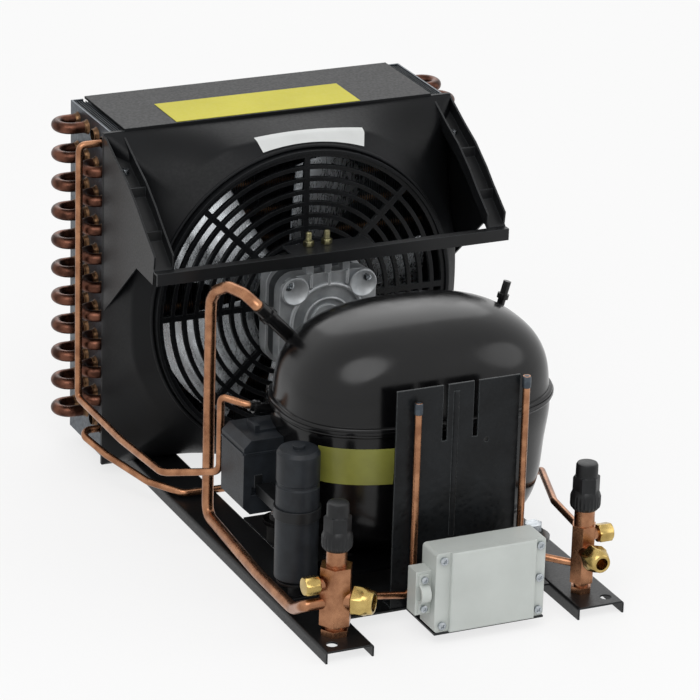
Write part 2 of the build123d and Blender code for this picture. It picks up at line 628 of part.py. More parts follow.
def valve(prefix, x, af, flare_direction, flare_z, nut_af, nut_bore, cap_side, cap_z):
    """A two-way service valve standing on a rail, with its nut, port cap, spindle and cap."""
    y = VALVE_Y
    up = (0, 0, 1)
    body = rod((x, y, RAIL_TOP), up, af * 0.33, 12)
    body += hex_bar((x, y, RAIL_TOP), up, af * 0.86, 5)
    body += hex_bar((x, y, RAIL_TOP + 9), up, af, 48)
    body += rod((x, y, RAIL_TOP + 56), up, 8.0, VALVE_SHOULDER_Z - RAIL_TOP - 56)
    body += rod((x, y, VALVE_SHOULDER_Z), up, VALVE_STEM_R, VALVE_STEM_TOP_Z - VALVE_SHOULDER_Z)
    bore = SPINDLE_R + FACE_GAP
    body -= rod((x, y, SPINDLE_BOTTOM_Z - FACE_GAP), up, bore, VALVE_STEM_TOP_Z - SPINDLE_BOTTOM_Z + 1)
    flare = Vector(*flare_direction)
    centre = Vector(x, y, flare_z)
    neck_length = 15.0
    body += rod(centre, flare, nut_af * 0.36, neck_length)
    nut_start = centre + flare * neck_length
    nut = hex_bar(nut_start, flare, nut_af, 10)
    nut += rod(nut_start + flare * 10, flare, nut_af * 0.46, 7)
    nut -= rod(nut_start + flare * 3, flare, nut_bore, 20)
    port = (cap_side, 0, 0)
    port_reach = af * 0.58 + 1.5
    port_start = Vector(x, y, cap_z) + Vector(*port) * port_reach
    body += rod((x, y, cap_z), port, PORT_CAP_R - 1.5, port_reach)
    port_cap = hex_bar(port_start, port, 2 * PORT_CAP_R, 8)
    port_cap += rod(port_start + Vector(*port) * 8, port, PORT_CAP_R - 1.5, 4)
    nodes[prefix + "_valve_body"] = body
    nodes[prefix + "_flare_nut"] = nut
    nodes[prefix + "_port_cap"] = port_cap

    spindle = rod((x, y, SPINDLE_BOTTOM_Z), up, SPINDLE_R, VALVE_STEM_TOP_Z + 1 - SPINDLE_BOTTOM_Z)
    square = 2 * SPINDLE_R * 0.7
    spindle += Pos(x, y, (VALVE_STEM_TOP_Z + SPINDLE_TOP_Z) / 2 + 0.5) * Box(
        square, square, SPINDLE_TOP_Z - VALVE_STEM_TOP_Z)
    nodes[prefix + "_valve_spindle"] = spindle

    low = VALVE_SHOULDER_Z + CAP_CLEARANCE
    hollow_r = VALVE_STEM_R + CAP_CLEARANCE
    hollow_top = SPINDLE_TOP_Z + 3
    profile = [(hollow_r, low), (9.5, low), (12, low + 5), (12, low + 14), (9.6, low + 15),
               (9.6, low + 23), (8.3, low + 24), (8.3, CAP_TOP_Z - 3), (6.5, CAP_TOP_Z),
               (0, CAP_TOP_Z), (0, hollow_top), (hollow_r, hollow_top)]
    nodes[prefix + "_valve_cap"] = turned(profile, x, y)


def valves():
    turn = math.radians(SUCTION_FLARE_ANGLE)
    suction_direction = (math.cos(turn), math.sin(turn), 0)
    valve("suction", -VALVE_X, SUCTION_BODY_AF, suction_direction, SUCTION_FLARE_Z,
          SUCTION_NUT_AF, SUCTION_NUT_BORE, -1, 53.0)
    valve("liquid", LIQUID_VALVE_X, LIQUID_BODY_AF, (0, -1, 0), LIQUID_FLARE_Z,
          LIQUID_NUT_AF, LIQUID_NUT_BORE, 1, 57.0)


def pipes():
    suction_body = nodes["suction_valve_body"]
    liquid_body = nodes["liquid_valve_body"]
    port_y = COIL_COLUMNS_Y[0]
    top_row_z = COIL_FIRST_ROW_Z + (COIL_ROWS - 1) * COIL_ROW_PITCH
    riser_x = -(COIL_REACH - DISCHARGE_PIPE_R - 0.5)
    along = RAIL_TOP + 7.0

    suction = pipe([SUCTION_STUB[1], (-121, -27, 231), (-118, 14, 214), (-118, 14, along),
                    (-125, -105, along), (-128, -180, along + 3), (-133, -VALVE_X - 103.5, 37),
                    (-VALVE_X, VALVE_Y, 37)], SUCTION_PIPE_R, 11)
    nodes["suction_line"] = suction - suction_body - nodes["suction_connector"]
    discharge = pipe([DISCHARGE_STUB[1], (-131, -39.5, 142), (-131, -39.5, 78), (-167, -8, 70),
                      (riser_x, 68, 69), (riser_x, port_y, 69), (riser_x, port_y, top_row_z),
                      (-COIL_HALF_WIDTH, port_y, top_row_z)], DISCHARGE_PIPE_R, 9)
    nodes["discharge_line"] = discharge - nodes["discharge_connector"]
    liquid = pipe([(-COIL_HALF_WIDTH, port_y, COIL_FIRST_ROW_Z), (riser_x, port_y, COIL_FIRST_ROW_Z),
                   (-160, 130, 29), (-140, 88, 19), (-118, 64, 15), (-30, 58, 15), (120, 50, 15),
                   (139, -8, 20), (137, -75, 52), (112, -145, 58), (LIQUID_VALVE_X, VALVE_Y, 60)],
                  LIQUID_PIPE_R, 8)
    nodes["liquid_line"] = liquid - liquid_body
    r = PRESSURE_TUBE_R
    y = PRESSURE_TUBE_Y
    low = pipe([(-VALVE_X, VALVE_Y, 30), (-72, y - 6, 30), (-34, y, 22), (-34, y, 182)], r, 7)
    nodes["suction_pressure_tube"] = low - suction_body
    high = pipe([(LIQUID_VALVE_X, VALVE_Y, 32), (78, y, 36), (57, y, 30), (57, y, 191)], r, 7)
    nodes["liquid_pressure_tube"] = high - liquid_body


def junction_box():
    x0 = BOX_LEFT_X
    x1 = x0 + BOX_WIDTH
    z0 = RAIL_TOP
    z1 = z0 + BOX_HEIGHT
    base_front = BOX_FRONT_Y + LID_PANEL + LID_PLATE
    base_rear = BOX_FRONT_Y + BOX_DEPTH
    base = box(x0, x1, base_front, base_rear, z0, z1)
    base = fillet(base.edges().filter_by(Axis.Y), 3)
    w = BOX_WALL
    cavity = box(x0 + 13, x1 - 11, base_front - 1, base_rear - w, z0 + w, z1 - w)
    nodes["junction_box"] = base - cavity
    plate_front = base_front - LID_PLATE
    lid = box(x0, x1, plate_front, base_front, z0, z1)
    lid = fillet(lid.edges().filter_by(Axis.Y), 3)
    px0 = x0 + LID_MARGIN_LEFT
    px1 = x1 - LID_MARGIN_RIGHT
    panel = box(px0, px1, BOX_FRONT_Y, plate_front, z0, z1)
    panel = fillet(panel.edges().group_by(Axis.Y)[0], 1.2)
    lid += panel
    screws = []
    mid_z = (z0 + z1) / 2
    edge = 6.0
    places = [(x0 + edge, z0 + edge), (x0 + edge, z1 - edge), (x1 - edge + 1, z0 + edge),
              (x1 - edge + 1, mid_z), (x1 - edge + 1, z1 - edge)]
    for x, z in places:
        screws.append(rod((x, plate_front - 2, z), (0, 1, 0), 3.0, 2))
    nodes["junction_lid"] = lid
    clamp_z = mid_z - 1
    clamp_front = base_front + 5
    block = box(x0 - 13, x0, clamp_front, base_rear - 3, clamp_z - 18, clamp_z + 18)
    nodes["cord_clamp_base"] = block
    arch_r = 6.0
    strap = rod((x0 - 11, clamp_front, clamp_z), (1, 0, 0), arch_r + 2, 8)
    strap -= rod((x0 - 12, clamp_front, clamp_z), (1, 0, 0), arch_r, 10)
    strap += box(x0 - 11, x0 - 3, clamp_front - 2, clamp_front, clamp_z - 16, clamp_z - arch_r - 0.5)
    strap += box(x0 - 11, x0 - 3, clamp_front - 2, clamp_front, clamp_z + arch_r + 0.5, clamp_z + 16)
    strap -= box(x0 - 12, x0, clamp_front, clamp_front + 12, clamp_z - 12, clamp_z + 12)
    nodes["cord_clamp_strap"] = strap
    for dz in (-12, 12):
        screws.append(rod((x0 - 7, clamp_front - 4, clamp_z + dz), (0, 1, 0), 2.6, 2))
    nodes["junction_screws"] = Compound(children=screws)


def main():
    rails()
    plate_heads = base_plates()
    shell = compressor()
    compressor_feet()
    connectors(shell)
    electrics(shell)
    coil()
    shroud()
    fan_guard()
    fan()
    motor()
    motor_bracket(plate_heads)
    valves()
    pipes()
    junction_box()
    os.makedirs("parts", exist_ok=True)
    for name, shape in nodes.items():
        export_step(shape, "parts/" + name + ".step")
    print(len(nodes), "nodes written")


main()
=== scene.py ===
"""Dresses the condensing unit: a finish for every part, fins, labels, fasteners, braze and a plain studio."""
import math

import bmesh
import bpy
from mathutils import Matrix, Vector
from mathutils.bvhtree import BVHTree


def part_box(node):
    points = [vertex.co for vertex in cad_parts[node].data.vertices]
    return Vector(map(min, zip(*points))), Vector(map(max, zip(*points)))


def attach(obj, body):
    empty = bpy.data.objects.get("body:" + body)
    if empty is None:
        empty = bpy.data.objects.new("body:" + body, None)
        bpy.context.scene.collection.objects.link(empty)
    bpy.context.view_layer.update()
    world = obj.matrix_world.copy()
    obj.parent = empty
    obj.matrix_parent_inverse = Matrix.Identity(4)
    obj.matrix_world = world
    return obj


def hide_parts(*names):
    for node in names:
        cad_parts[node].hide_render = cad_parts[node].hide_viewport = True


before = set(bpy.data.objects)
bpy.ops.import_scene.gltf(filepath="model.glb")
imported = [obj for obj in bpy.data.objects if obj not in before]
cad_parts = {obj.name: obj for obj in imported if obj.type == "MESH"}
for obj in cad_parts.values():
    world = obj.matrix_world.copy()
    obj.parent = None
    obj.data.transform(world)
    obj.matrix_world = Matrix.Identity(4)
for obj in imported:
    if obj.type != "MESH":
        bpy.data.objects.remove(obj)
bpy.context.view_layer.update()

MM = 0.001

# ---- studio, in metres and watts
CAMERA_PLACE = (-1.28968, -2.73741, 1.34968)
CAMERA_RIGHT = (0.909254, -0.415284, 0.028220)
CAMERA_UP = (0.129547, 0.346767, 0.928962)
CAMERA_FORWARD = (0.395568, 0.841007, -0.369098)
CAMERA_LENS_MM = 208.83
CAMERA_REACH = 50.0
SENSOR_MM = 36.0
LAMP_AIM = (0, 0, 0.12)
LAMPS = (("key_softbox", (-1.0, -1.6, 2.3), 2.2, 32.0), ("back_softbox", (0.9, 2.4, 1.9), 2.6, 17.0),
         ("side_softbox", (2.0, -1.2, 1.3), 1.6, 9.0))
FLOOR_HALF = 6.0
FLOOR_CUTS = 4
ROOM_LIGHT = 0.55
FLOOR_GLOW = 0.75

# ---- how every finish is drawn: the part of each texture's range that counts, and its fineness
PATCH_RANGE = {"From Min": 0.35, "From Max": 0.65}
PATCH_DETAIL = 5.0
GRAIN_RANGE = {"From Min": 0.3, "From Max": 0.7}
GRAIN_DETAIL = 3.0
# The range of the rounded normal's lean over which the painted edge highlight fades in.
EDGE_HIGHLIGHT_RANGE = {"From Min": 0.985, "From Max": 0.8}
PIT_SMOOTHNESS = 0.7
BEVEL_SAMPLES = 4

# ---- condenser; from here on every length is in millimetres
COIL_HALF_WIDTH = 149.0
PACK_INSET = 2.6
PACK_HALF_WIDTH = COIL_HALF_WIDTH - PACK_INSET
FIN_PITCH = 2.1
FIN_THICKNESS = 0.32
FIN_FRONT_Y = 157.0
FIN_REAR_Y = 238.5
FIN_LOW_Z = 10.6
FIN_HIGH_Z = 299.4
ROWS = 11
ROW_PITCH = 25.0
FIRST_ROW_Z = 38.6
COLUMNS_Y = (163.0, 184.0, 205.0, 226.0)
TUBE_R = 4.75
TUBE_STEPS = 16
# Each pair is how far the braze stands off the tube, and how far out it reaches.
BRAZE_PROFILE = ((1.7, 0), (1.2, 0.9), (0.5, 1.6), (0.35, 3.4), (-0.2, 3.8))
BRAZE_STEPS = 18

# ---- compressor
OVAL_CENTRE = (11.0, -86.5)
OVAL_HALF = (110.0, 73.0)
OVAL_POWER = 2.6
OVAL_POINTS = 96
SEAM_Z = 145.0
CROWN_Z = 218.0
DOME_POINTS = 144
DOME_STEPS = 40
DOME_FIRST_STEP = 2
# Each pair is how far the rolled lip stands out from the shell, and its height.
LIP_RINGS = ((3.2, 145.0), (3.2, 146.8), (2.6, 147.4), (0.6, 147.8))
SEAM_BEAD_OUT = 1.6
SEAM_BEAD_Z = 141.0
SEAM_BEAD_R = 1.7

# ---- shroud and fan ring
RING_CENTRE = (0.0, 155.0)
RING_R = 131.0
RING_FRONT_Y = 100.5
RING_OUT = 2.2
BEAD_OUT = 2.0
BEAD_R = 1.6
BEAD_STEPS = 96
COLLAR_WIDTH = 17.0
COLLAR_LEAST = 3
COLLAR_FILL = 0.55
COLLAR_Y = 112.0
COLLAR_SHARE = 0.6
FUNNEL_POWER = 0.85
SHROUD_HALF_WIDTH = 155.2
SHROUD_TOP_Z = 299.6
SHROUD_LOW_Z = 10.4
SHROUD_BACK_Y = 152.2
SHROUD_TURNS = 180
SHROUD_SHARES = 25
TINY = 1e-6
SLOPE_STEP = 0.01

# ---- labels
FILM_LIFT = 0.35
FILM_FILL = 0.8
RING_LABEL_TURNS = (105.5, 67.0)
RING_LABEL_SHARES = (0.50, 0.90)
RING_LABEL_LIFT = 0.5
RING_LABEL_GRID = (30, 12)
TOP_LABEL_X = (-91.0, 73.0)
TOP_LABEL_Y = (154.5, 203.0)
TOP_LABEL_GRID = (12, 6)
SHELL_LABEL_X = (-88.0, -35.0)
SHELL_LABEL_Z = (99.5, 130.5)
SHELL_LABEL_GRID = (20, 6)
OVER_TOP_Z = 320.0
BEFORE_SHELL_Y = -220.0

# ---- screws: a cross recess and a dome, as shares of the head's radius and height
FRONT = (0, -1, 0)
CROSS_ARM = 0.52
CROSS_SLOT = 0.14
RECESS_TAPER = 0.8
RECESS_FLOOR = 0.25
DOME_FALL = 0.75
SKIRT_SHARE = 0.5
HEAD_STEPS = 8
HEAD_SINK = 0.3
HEAD_OVERHANG = 0.35
HEAD_HEIGHT = 1.5

# ---- studs; in a turned profile each pair is a radius and a distance along the axis
STUD_NUT_PROFILE = ((4.2, 0), (4.6, 0.4), (4.6, 4.2), (3.6, 4.8))
STUD_HEXAGON_TOP = 4.4
STUD_STEPS = 48
THREAD_START = 5.0
THREAD_PITCH = 0.8
THREAD_ROOT_R = 2.2
THREAD_CREST_R = 2.6
STUD_TIP_R = 1.6

# ---- motor and relay
MOTOR_FACE_Y = 49.6
MOTOR_RINGS = ((32.0, 1.9), (20.0, 1.2))
MOTOR_RING_STEPS = 72
CUP_PROFILE = ((12.2, 0), (11.8, 3.0), (10.8, 3.2), (7.0, 0.4), (0.2, 0.3))
CUP_STEPS = 40
CUP_OFFSETS = (-30.0, 30.0)
RIBS_X = (-16.0, 0.0, 16.0)
RIB_HALF = 1.3
RIB_Y = (46.6, 50.5)
RIB_Z = (186.0, 198.0)
RIB_ROUND = 0.6
RIM_OUT = 0.9
RIM_BELOW_TOP = (13.0, 8.5)
RIM_ROUND = 1.4
WINDOW_FROM_END = (33.0, 26.0)
WINDOW_STEP = 0.5
WINDOW_Z = (22.0, 33.0)
WINDOW_ROUND = 0.3

# ---- valves
HEXAGON_SIDES = 6
CAP_STEPS = 96
# Each pair is a share of the cap's radius, and a height.
CAP_PROFILE = ((0.7, 0), (0.8, 0), (0.97, 2.4), (1, 4), (1, 11), (0.96, 12.5), (0.88, 14.9), (0.90, 16),
               (0.90, 26.5), (0.86, 27.4), (0.73, 27.8), (0.72, 36.6), (0.66, 38.1), (0.55, 38.6),
               (0.02, 38.3))
CAP_BORE_SHARE = 0.7
CAP_BORE_DEPTH = 30
CAP_BORE_STEPS = 32
KNURL_Z = (2.0, 11.5)
KNURL_PERIOD = 4
KNURL_VALLEY = 0.955
CAP_HEXAGON_Z = (15.0, 27.5)
NUT_STEPS = 72
NUT_LENGTH = 17
NUT_HEXAGON_LENGTH = 9.5
SUCTION_NUT_AXIS = (0.743145, -0.669131, 0)
SUCTION_NUT_CORNER = 12.4
SUCTION_NUT_BORE = 6.6
LIQUID_NUT_CORNER = 10.8
LIQUID_NUT_BORE = 5.0
PORT_CAP_PROFILE = ((7.6, 0), (7.9, 1), (7.9, 11), (7.4, 12), (3, 12.2))
PORT_CAP_HALF = 6
PORT_HEXAGON = (0.5, 11.5)
PORT_END_SHARE = 0.9

# ---- copper pipes
SUCTION_R = 4.75
SUCTION_BEND = 24.0
SUCTION_ROUTE = ((-95, -39.5, 207.6), (-101, -37, 213.5), (-106, -24, 219), (-112, -6, 219.5),
                 (-116.5, 7, 212), (-118, 13, 202), (-118, 14, 190), (-118, 14, 17), (-125, -105, 17),
                 (-128, -180, 20), (-133, -210.5, 37), (-112, -210.5, 37))
DISCHARGE_R = 3.0
DISCHARGE_BEND = 13.0
DISCHARGE_ROUTE = ((-106, -56.5, 135.9), (-116, -55, 139), (-131, -39.5, 142), (-131, -39.5, 78),
                   (-167, -8, 70), (-172, 68, 69), (-172, 163, 69), (-172, 163, 288.6), (-149, 163, 288.6))
LEG_SHARE = 0.45
PIPE_SIDES = 6
PIPE_CUTS = 8
PIPE_ORDER = 3
TUBE_CAP_PROFILE = ((2.95, 0), (3.5, 0.6), (3.5, 8), (3.1, 9.4), (1.2, 10.2))
TUBE_CAP_DROP = 9.8
TUBE_CAP_STEPS = 20
PRESSURE_TUBE_R = 2.9
PRESSURE_TUBE_Y = -193.0


def linear(hex_colour):
    """Turns an sRGB hex colour into the linear values that shaders take."""
    shares = [int(hex_colour[i:i + 2], 16) / 255 for i in (1, 3, 5)]
    return tuple(c / 12.92 if c <= 0.04045 else ((c + 0.055) / 1.055) ** 2.4 for c in shares) + (1.0,)


def node(tree, kind, sockets=(), links=(), **settings):
    """Adds a shader node with its settings, its socket values and the outputs that feed it."""
    made = tree.nodes.new("ShaderNode" + kind)
    for name, value in settings.items():
        setattr(made, name, value)
    for name, value in dict(sockets).items():
        made.inputs[name].default_value = value
    for name, source in dict(links).items():
        tree.links.new(source, made.inputs[name])
    return made


def empty_tree(owner):
    """Gives a material or world a node tree with nothing in it."""
    owner.use_nodes = True
    owner.node_tree.nodes.clear()
    return owner.node_tree


def finish(name, tones, patch_mm, grain_mm, depth_mm, roughness, gloss_spread=0.06, stretch=(1, 1, 1),
           flakes=False, dimples=False, edge=None, round_mm=0.5, **shader):
    """A surface of two tones in patches, with a bumpy grain, uneven gloss and softly rounded edges; an edge
    colour, when given, is mixed in along those edges as a painted highlight.
    """
    material = bpy.data.materials.new(name)
    tree = empty_tree(material)
    place = node(tree, "TexCoord")
    drawn = node(tree, "Mapping", {"Scale": stretch}, {"Vector": place.outputs["Object"]})
    along = {"Vector": drawn.outputs["Vector"]}
    if flakes:
        cells = node(tree, "TexVoronoi", {"Scale": 1 / (patch_mm * MM)}, along)
        patches = node(tree, "SeparateColor", links={"Color": cells.outputs["Color"]}).outputs["Red"]
    else:
        cloud = node(tree, "TexNoise", {"Scale": 1 / (patch_mm * MM), "Detail": PATCH_DETAIL}, along)
        patches = cloud.outputs["Fac"]
    if dimples:
        pits = node(tree, "TexVoronoi", {"Scale": 1 / (grain_mm * MM), "Smoothness": PIT_SMOOTHNESS}, along,
                    feature="SMOOTH_F1")
        grain = pits.outputs["Distance"]
    else:
        specks = node(tree, "TexNoise", {"Scale": 1 / (grain_mm * MM), "Detail": GRAIN_DETAIL}, along)
        grain = specks.outputs["Fac"]
    share = node(tree, "MapRange", PATCH_RANGE, {"Value": patches})
    colour = node(tree, "Mix", {6: linear(tones[0]), 7: linear(tones[1])}, {0: share.outputs["Result"]},
                  data_type="RGBA").outputs[2]
    rounded = node(tree, "Bevel", {"Radius": round_mm * MM}, samples=BEVEL_SAMPLES)
    # Painted highlight: the edge colour is mixed in where the rounded normal leans away from the face.
    if edge:
        flat = node(tree, "NewGeometry")
        likeness = node(tree, "VectorMath", links={0: rounded.outputs["Normal"], 1: flat.outputs["Normal"]},
                        operation="DOT_PRODUCT")
        edge_highlight_share = node(tree, "MapRange", EDGE_HIGHLIGHT_RANGE, {"Value": likeness.outputs["Value"]})
        colour = node(tree, "Mix", {7: linear(edge)}, {0: edge_highlight_share.outputs["Result"], 6: colour},
                      data_type="RGBA").outputs[2]
    gloss = node(tree, "MapRange", {**GRAIN_RANGE, "To Min": roughness - gloss_spread,
                                    "To Max": roughness + gloss_spread}, {"Value": grain})
    bump = node(tree, "Bump", {"Distance": depth_mm * MM, "Strength": 1.0},
                {"Height": grain, "Normal": rounded.outputs["Normal"]})
    surface = node(tree, "BsdfPrincipled", shader,
                   {"Base Color": colour, "Roughness": gloss.outputs["Result"],
                    "Normal": bump.outputs["Normal"]})
    node(tree, "OutputMaterial", links={"Surface": surface.outputs["BSDF"]})
    return material


# The edge colours of the finishes below are painted highlights along their edges.
# Paint and moulded plastic over a dark ground show less of the room than bare gloss does.
SOFT_SHINE = {"Specular IOR Level": 0.15}
BAKED_SHINE = {"Specular IOR Level": 0.3}
WET_SHINE = {"Specular IOR Level": 0.32}

# Powder-coated steel, sprayed and baked: deep black, a fine orange peel, and a painted highlight on edges
# that catch the light.
POWDER = finish("powder_coated_steel", ("#0D0E0F", "#141517"), 45, 1.6, 0.05, 0.40, edge="#3C4043",
                round_mm=0.6, **BAKED_SHINE)
# Hammer enamel, sprayed thick over sheet steel: shallow pits that break the shine into small glints.
HAMMERED = finish("hammer_enamel_steel", ("#131415", "#1C1E20"), 30, 4.5, 0.35, 0.33, dimples=True,
                  edge="#5E6264", round_mm=0.8, **SOFT_SHINE)
# Gloss enamel, dipped over a drawn steel shell: nearly black, with a wet clear shine and slight waves.
ENAMEL = finish("gloss_enamel_shell", ("#060607", "#0B0B0C"), 60, 14, 0.06, 0.19,
                gloss_spread=0.04, **WET_SHINE)
# Satin painted sheet for the shroud: flat black with a soft even sheen.
SATIN = finish("satin_painted_shroud", ("#0B0C0D", "#121315"), 70, 2.2, 0.04, 0.45, edge="#2C2F32",
               round_mm=0.8, **SOFT_SHINE)
# Wire guard, dipped in plastic: black, smooth and a little glossy.
DIPPED = finish("plastic_dipped_wire", ("#0A0B0C", "#111214"), 25, 2.0, 0.04, 0.30, edge="#25282A",
                round_mm=0.8, **SOFT_SHINE)
# Phenolic, press-moulded: dull blue-black with a stony speckle.
PHENOLIC = finish("moulded_phenolic", ("#15181C", "#1F2328"), 12, 1.2, 0.06, 0.46, edge="#3A4046",
                  round_mm=0.5, **BAKED_SHINE)
# Nylon, injection-moulded: soft-edged black with a low sheen.
NYLON = finish("moulded_nylon", ("#0F1011", "#17181A"), 9, 0.9, 0.04, 0.38, edge="#34373A",
               round_mm=0.5, **BAKED_SHINE)
# ABS, injection-moulded in light grey: fine spark-eroded grain and a soft shine.
ABS = finish("moulded_grey_abs", ("#BBC0BC", "#C4C9C5"), 40, 0.9, 0.05, 0.42, edge="#CCD0CC",
             round_mm=0.7, IOR=1.54)
# Copper tube, drawn and clean: warm and bright, with faint lengthwise streaks and darker handling marks.
COPPER = finish("drawn_copper", ("#B08060", "#8D6248"), 11, 1.6, 0.03, 0.30, Metallic=1.0)
# Copper tube after oven brazing and weather: brown with dull red patches.
AGED_COPPER = finish("brazed_brown_copper", ("#6A4638", "#38241D"), 9, 1.8, 0.05, 0.36,
                     gloss_spread=0.10, Metallic=1.0)
# Braze alloy run into the joint: pale gold, a little lumpy.
BRAZE = finish("braze_alloy", ("#74583F", "#4E3B2C"), 4, 1.5, 0.12, 0.38, Metallic=1.0)
# Brass, forged and turned: yellow, bright on the flats, with fine tool lines.
BRASS = finish("turned_brass", ("#C6AC6C", "#A48B52"), 10, 0.8, 0.03, 0.24, Metallic=1.0, round_mm=0.5)
# Plain aluminium foil fins, punched: thin and nearly mirror-flat between collars; pale metal, set darker here
# as painted shade for the inside of the fin pack.
FOIL = finish("punched_aluminium_foil", ("#6A6F73", "#53585C"), 30, 3.0, 0.03, 0.42, Metallic=1.0,
              round_mm=0.1)
# Aluminium sheet for the blades, rolled and pressed: bright with faint streaks.
SHEET_ALLOY = finish("rolled_aluminium", ("#CBCFD2", "#BBC0C4"), 35, 2.4, 0.01, 0.28, stretch=(1, 1, 0.2),
                     Metallic=1.0)
# Aluminium, die cast: grey and slightly sandy, darker where the mould left a skin.
CAST_ALLOY = finish("die_cast_aluminium", ("#B4B7B9", "#93979A"), 16, 1.3, 0.10, 0.48, Metallic=0.7,
                    edge="#D0D3D5", round_mm=0.7)
# Galvanised steel, hot dipped: blue-grey crystals of uneven brightness, in tones set well below bare
# galvanised sheet as painted shade.
GALVANISED = finish("galvanised_sheet", ("#41474E", "#4B5259"), 5, 2.0, 0.03, 0.38,
                    gloss_spread=0.10, flakes=True, Metallic=0.8, edge="#9BA1A6", round_mm=0.4)
# Zinc-plated steel, bright passivated: cool silver with a faint blue cast.
ZINC = finish("bright_zinc_steel", ("#B9BEC2", "#9BA1A6"), 3, 0.5, 0.03, 0.26, Metallic=1.0, round_mm=0.3)
# Zinc-plated steel, yellow passivated: gold with a green and pink tint.
YELLOW_ZINC = finish("yellow_zinc_steel", ("#8A8664", "#6B6750"), 3, 0.5, 0.03, 0.34, Metallic=1.0,
                     round_mm=0.3)
# Bronze, sintered for bearings: brown and open-pored.
BRONZE = finish("sintered_bronze", ("#8A6A3E", "#6F5431"), 4, 0.6, 0.06, 0.45, Metallic=0.9)
# Lamination steel, stacked sheets: dark grey with fine lines across the stack.
LAMINATIONS = finish("lamination_stack", ("#4A4D50", "#35383A"), 12, 1.0, 0.08, 0.50, stretch=(0.1, 3, 0.1),
                     Metallic=0.8)
# Iron, sand cast: dark and coarse.
CAST_IRON = finish("sand_cast_iron", ("#3C3E40", "#2C2D2F"), 14, 1.8, 0.2, 0.62, Metallic=0.6)
# Rubber, moulded: matt black with a light dusty bloom.
RUBBER = finish("moulded_rubber", ("#161616", "#232322"), 10, 1.0, 0.08, 0.72, IOR=1.52)
# Label film, printed flat yellow and left blank.
YELLOW_FILM = finish("yellow_label_film", ("#D2C93E", "#CAC138"), 60, 3.0, 0.02, 0.50, **SOFT_SHINE)
# The label on the shell: the same film as the top label, in darker olive tones.
OLIVE_FILM = finish("olive_label_film", ("#8F9040", "#7D7D38"), 30, 3.0, 0.02, 0.36, IOR=1.46)
# Plain paper-white film for the ring label.
WHITE_FILM = finish("white_label_film", ("#D9DBDA", "#CFD1D0"), 30, 3.0, 0.02, 0.40, IOR=1.46)

NODE_FINISHES = {
    POWDER: ("rail_left", "rail_right", "cross_plate", "bracket_arm_left", "bracket_arm_right", "motor_bar",
             "capacitor_bracket"),
    HAMMERED: ("bracket_plate",),
    ENAMEL: ("compressor_lower_shell", "compressor_upper_shell", "compressor_feet", "suction_connector",
             "discharge_connector", "process_tube"),
    SATIN: ("shroud",),
    DIPPED: ("fan_guard",),
    PHENOLIC: ("relay_cover", "start_capacitor", "relay_clip"),
    NYLON: ("suction_valve_cap", "liquid_valve_cap"),
    ABS: ("junction_box", "junction_lid", "cord_clamp_base", "cord_clamp_strap"),
    COPPER: ("suction_line", "discharge_line", "liquid_line", "suction_pressure_tube", "liquid_pressure_tube",
             "suction_valve_body", "liquid_valve_body"),
    AGED_COPPER: ("coil_bends_left", "coil_bends_right"),
    BRASS: ("suction_flare_nut", "liquid_flare_nut", "suction_port_cap", "liquid_port_cap"),
    FOIL: ("coil_fins",),
    SHEET_ALLOY: ("fan_blades",),
    CAST_ALLOY: ("motor_front_shield", "motor_rear_shield", "fan_hub"),
    GALVANISED: ("tube_sheet_left", "tube_sheet_right"),
    ZINC: ("motor_screws", "frame_screws", "junction_screws", "grommet_bolts", "motor_shaft",
           "suction_valve_spindle", "liquid_valve_spindle", "pump_springs"),
    YELLOW_ZINC: ("motor_studs",),
    BRONZE: ("motor_bearings",),
    LAMINATIONS: ("motor_stator", "motor_rotor", "compressor_stator"),
    CAST_IRON: ("compressor_pump",),
    RUBBER: ("rubber_grommets",),
}


def dress_nodes():
    """Gives every CAD node its finish."""
    for material, names in NODE_FINISHES.items():
        for name in names:
            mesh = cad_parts[name].data
            mesh.materials.clear()
            mesh.materials.append(material)


def placed(name, data):
    """Puts an object with this data in the scene."""
    made = bpy.data.objects.new(name, data)
    bpy.context.scene.collection.objects.link(made)
    return made


def piece(name, bm, material, body="chassis", sharp=40):
    """Makes a piece of the mesh built so far, gives it its finish, and fixes it to its body."""
    bmesh.ops.recalc_face_normals(bm, faces=bm.faces)
    mesh = bpy.data.meshes.new(name)
    bm.to_mesh(mesh)
    bm.free()
    mesh.materials.append(material)
    mesh.shade_smooth()
    mesh.set_sharp_from_angle(angle=math.radians(sharp))
    made = placed(name, mesh)
    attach(made, body)
    return made


def box_mm(name):
    """The lowest and highest corners of a CAD node."""
    low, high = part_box(name)
    return low / MM, high / MM


def spread(start, end, count):
    """Evenly spaced values from start to end, both included."""
    return [start + (end - start) * i / (count - 1) for i in range(count)]


def frame_along(axis):
    """The axis as a unit vector, and two more that are square to it and to each other."""
    axis = Vector(axis).normalized()
    side = axis.orthogonal().normalized()
    return axis, side, axis.cross(side)


def bridge(bm, rings, closed=True):
    """Adds the faces between each row of corners and the next, going all the way round if closed."""
    for low, high in zip(rings, rings[1:]):
        count = len(low)
        for i in range(count if closed else count - 1):
            j = (i + 1) % count
            bm.faces.new((low[i], low[j], high[j], high[i]))


def turned(bm, profile, origin, axis, steps=32, shape=None):
    """Adds a turned skin: profile holds (radius, distance along the axis), shape scales each radius."""
    axis, side, up = frame_along(axis)
    rings = []
    for radius, distance in profile:
        ring = []
        for i in range(steps):
            turn = 2 * math.pi * i / steps
            r = radius * (shape(i, distance) if shape else 1)
            spot = Vector(origin) + axis * distance + side * r * math.cos(turn) + up * r * math.sin(turn)
            ring.append(bm.verts.new(spot * MM))
        rings.append(ring)
    bridge(bm, rings)
    return rings


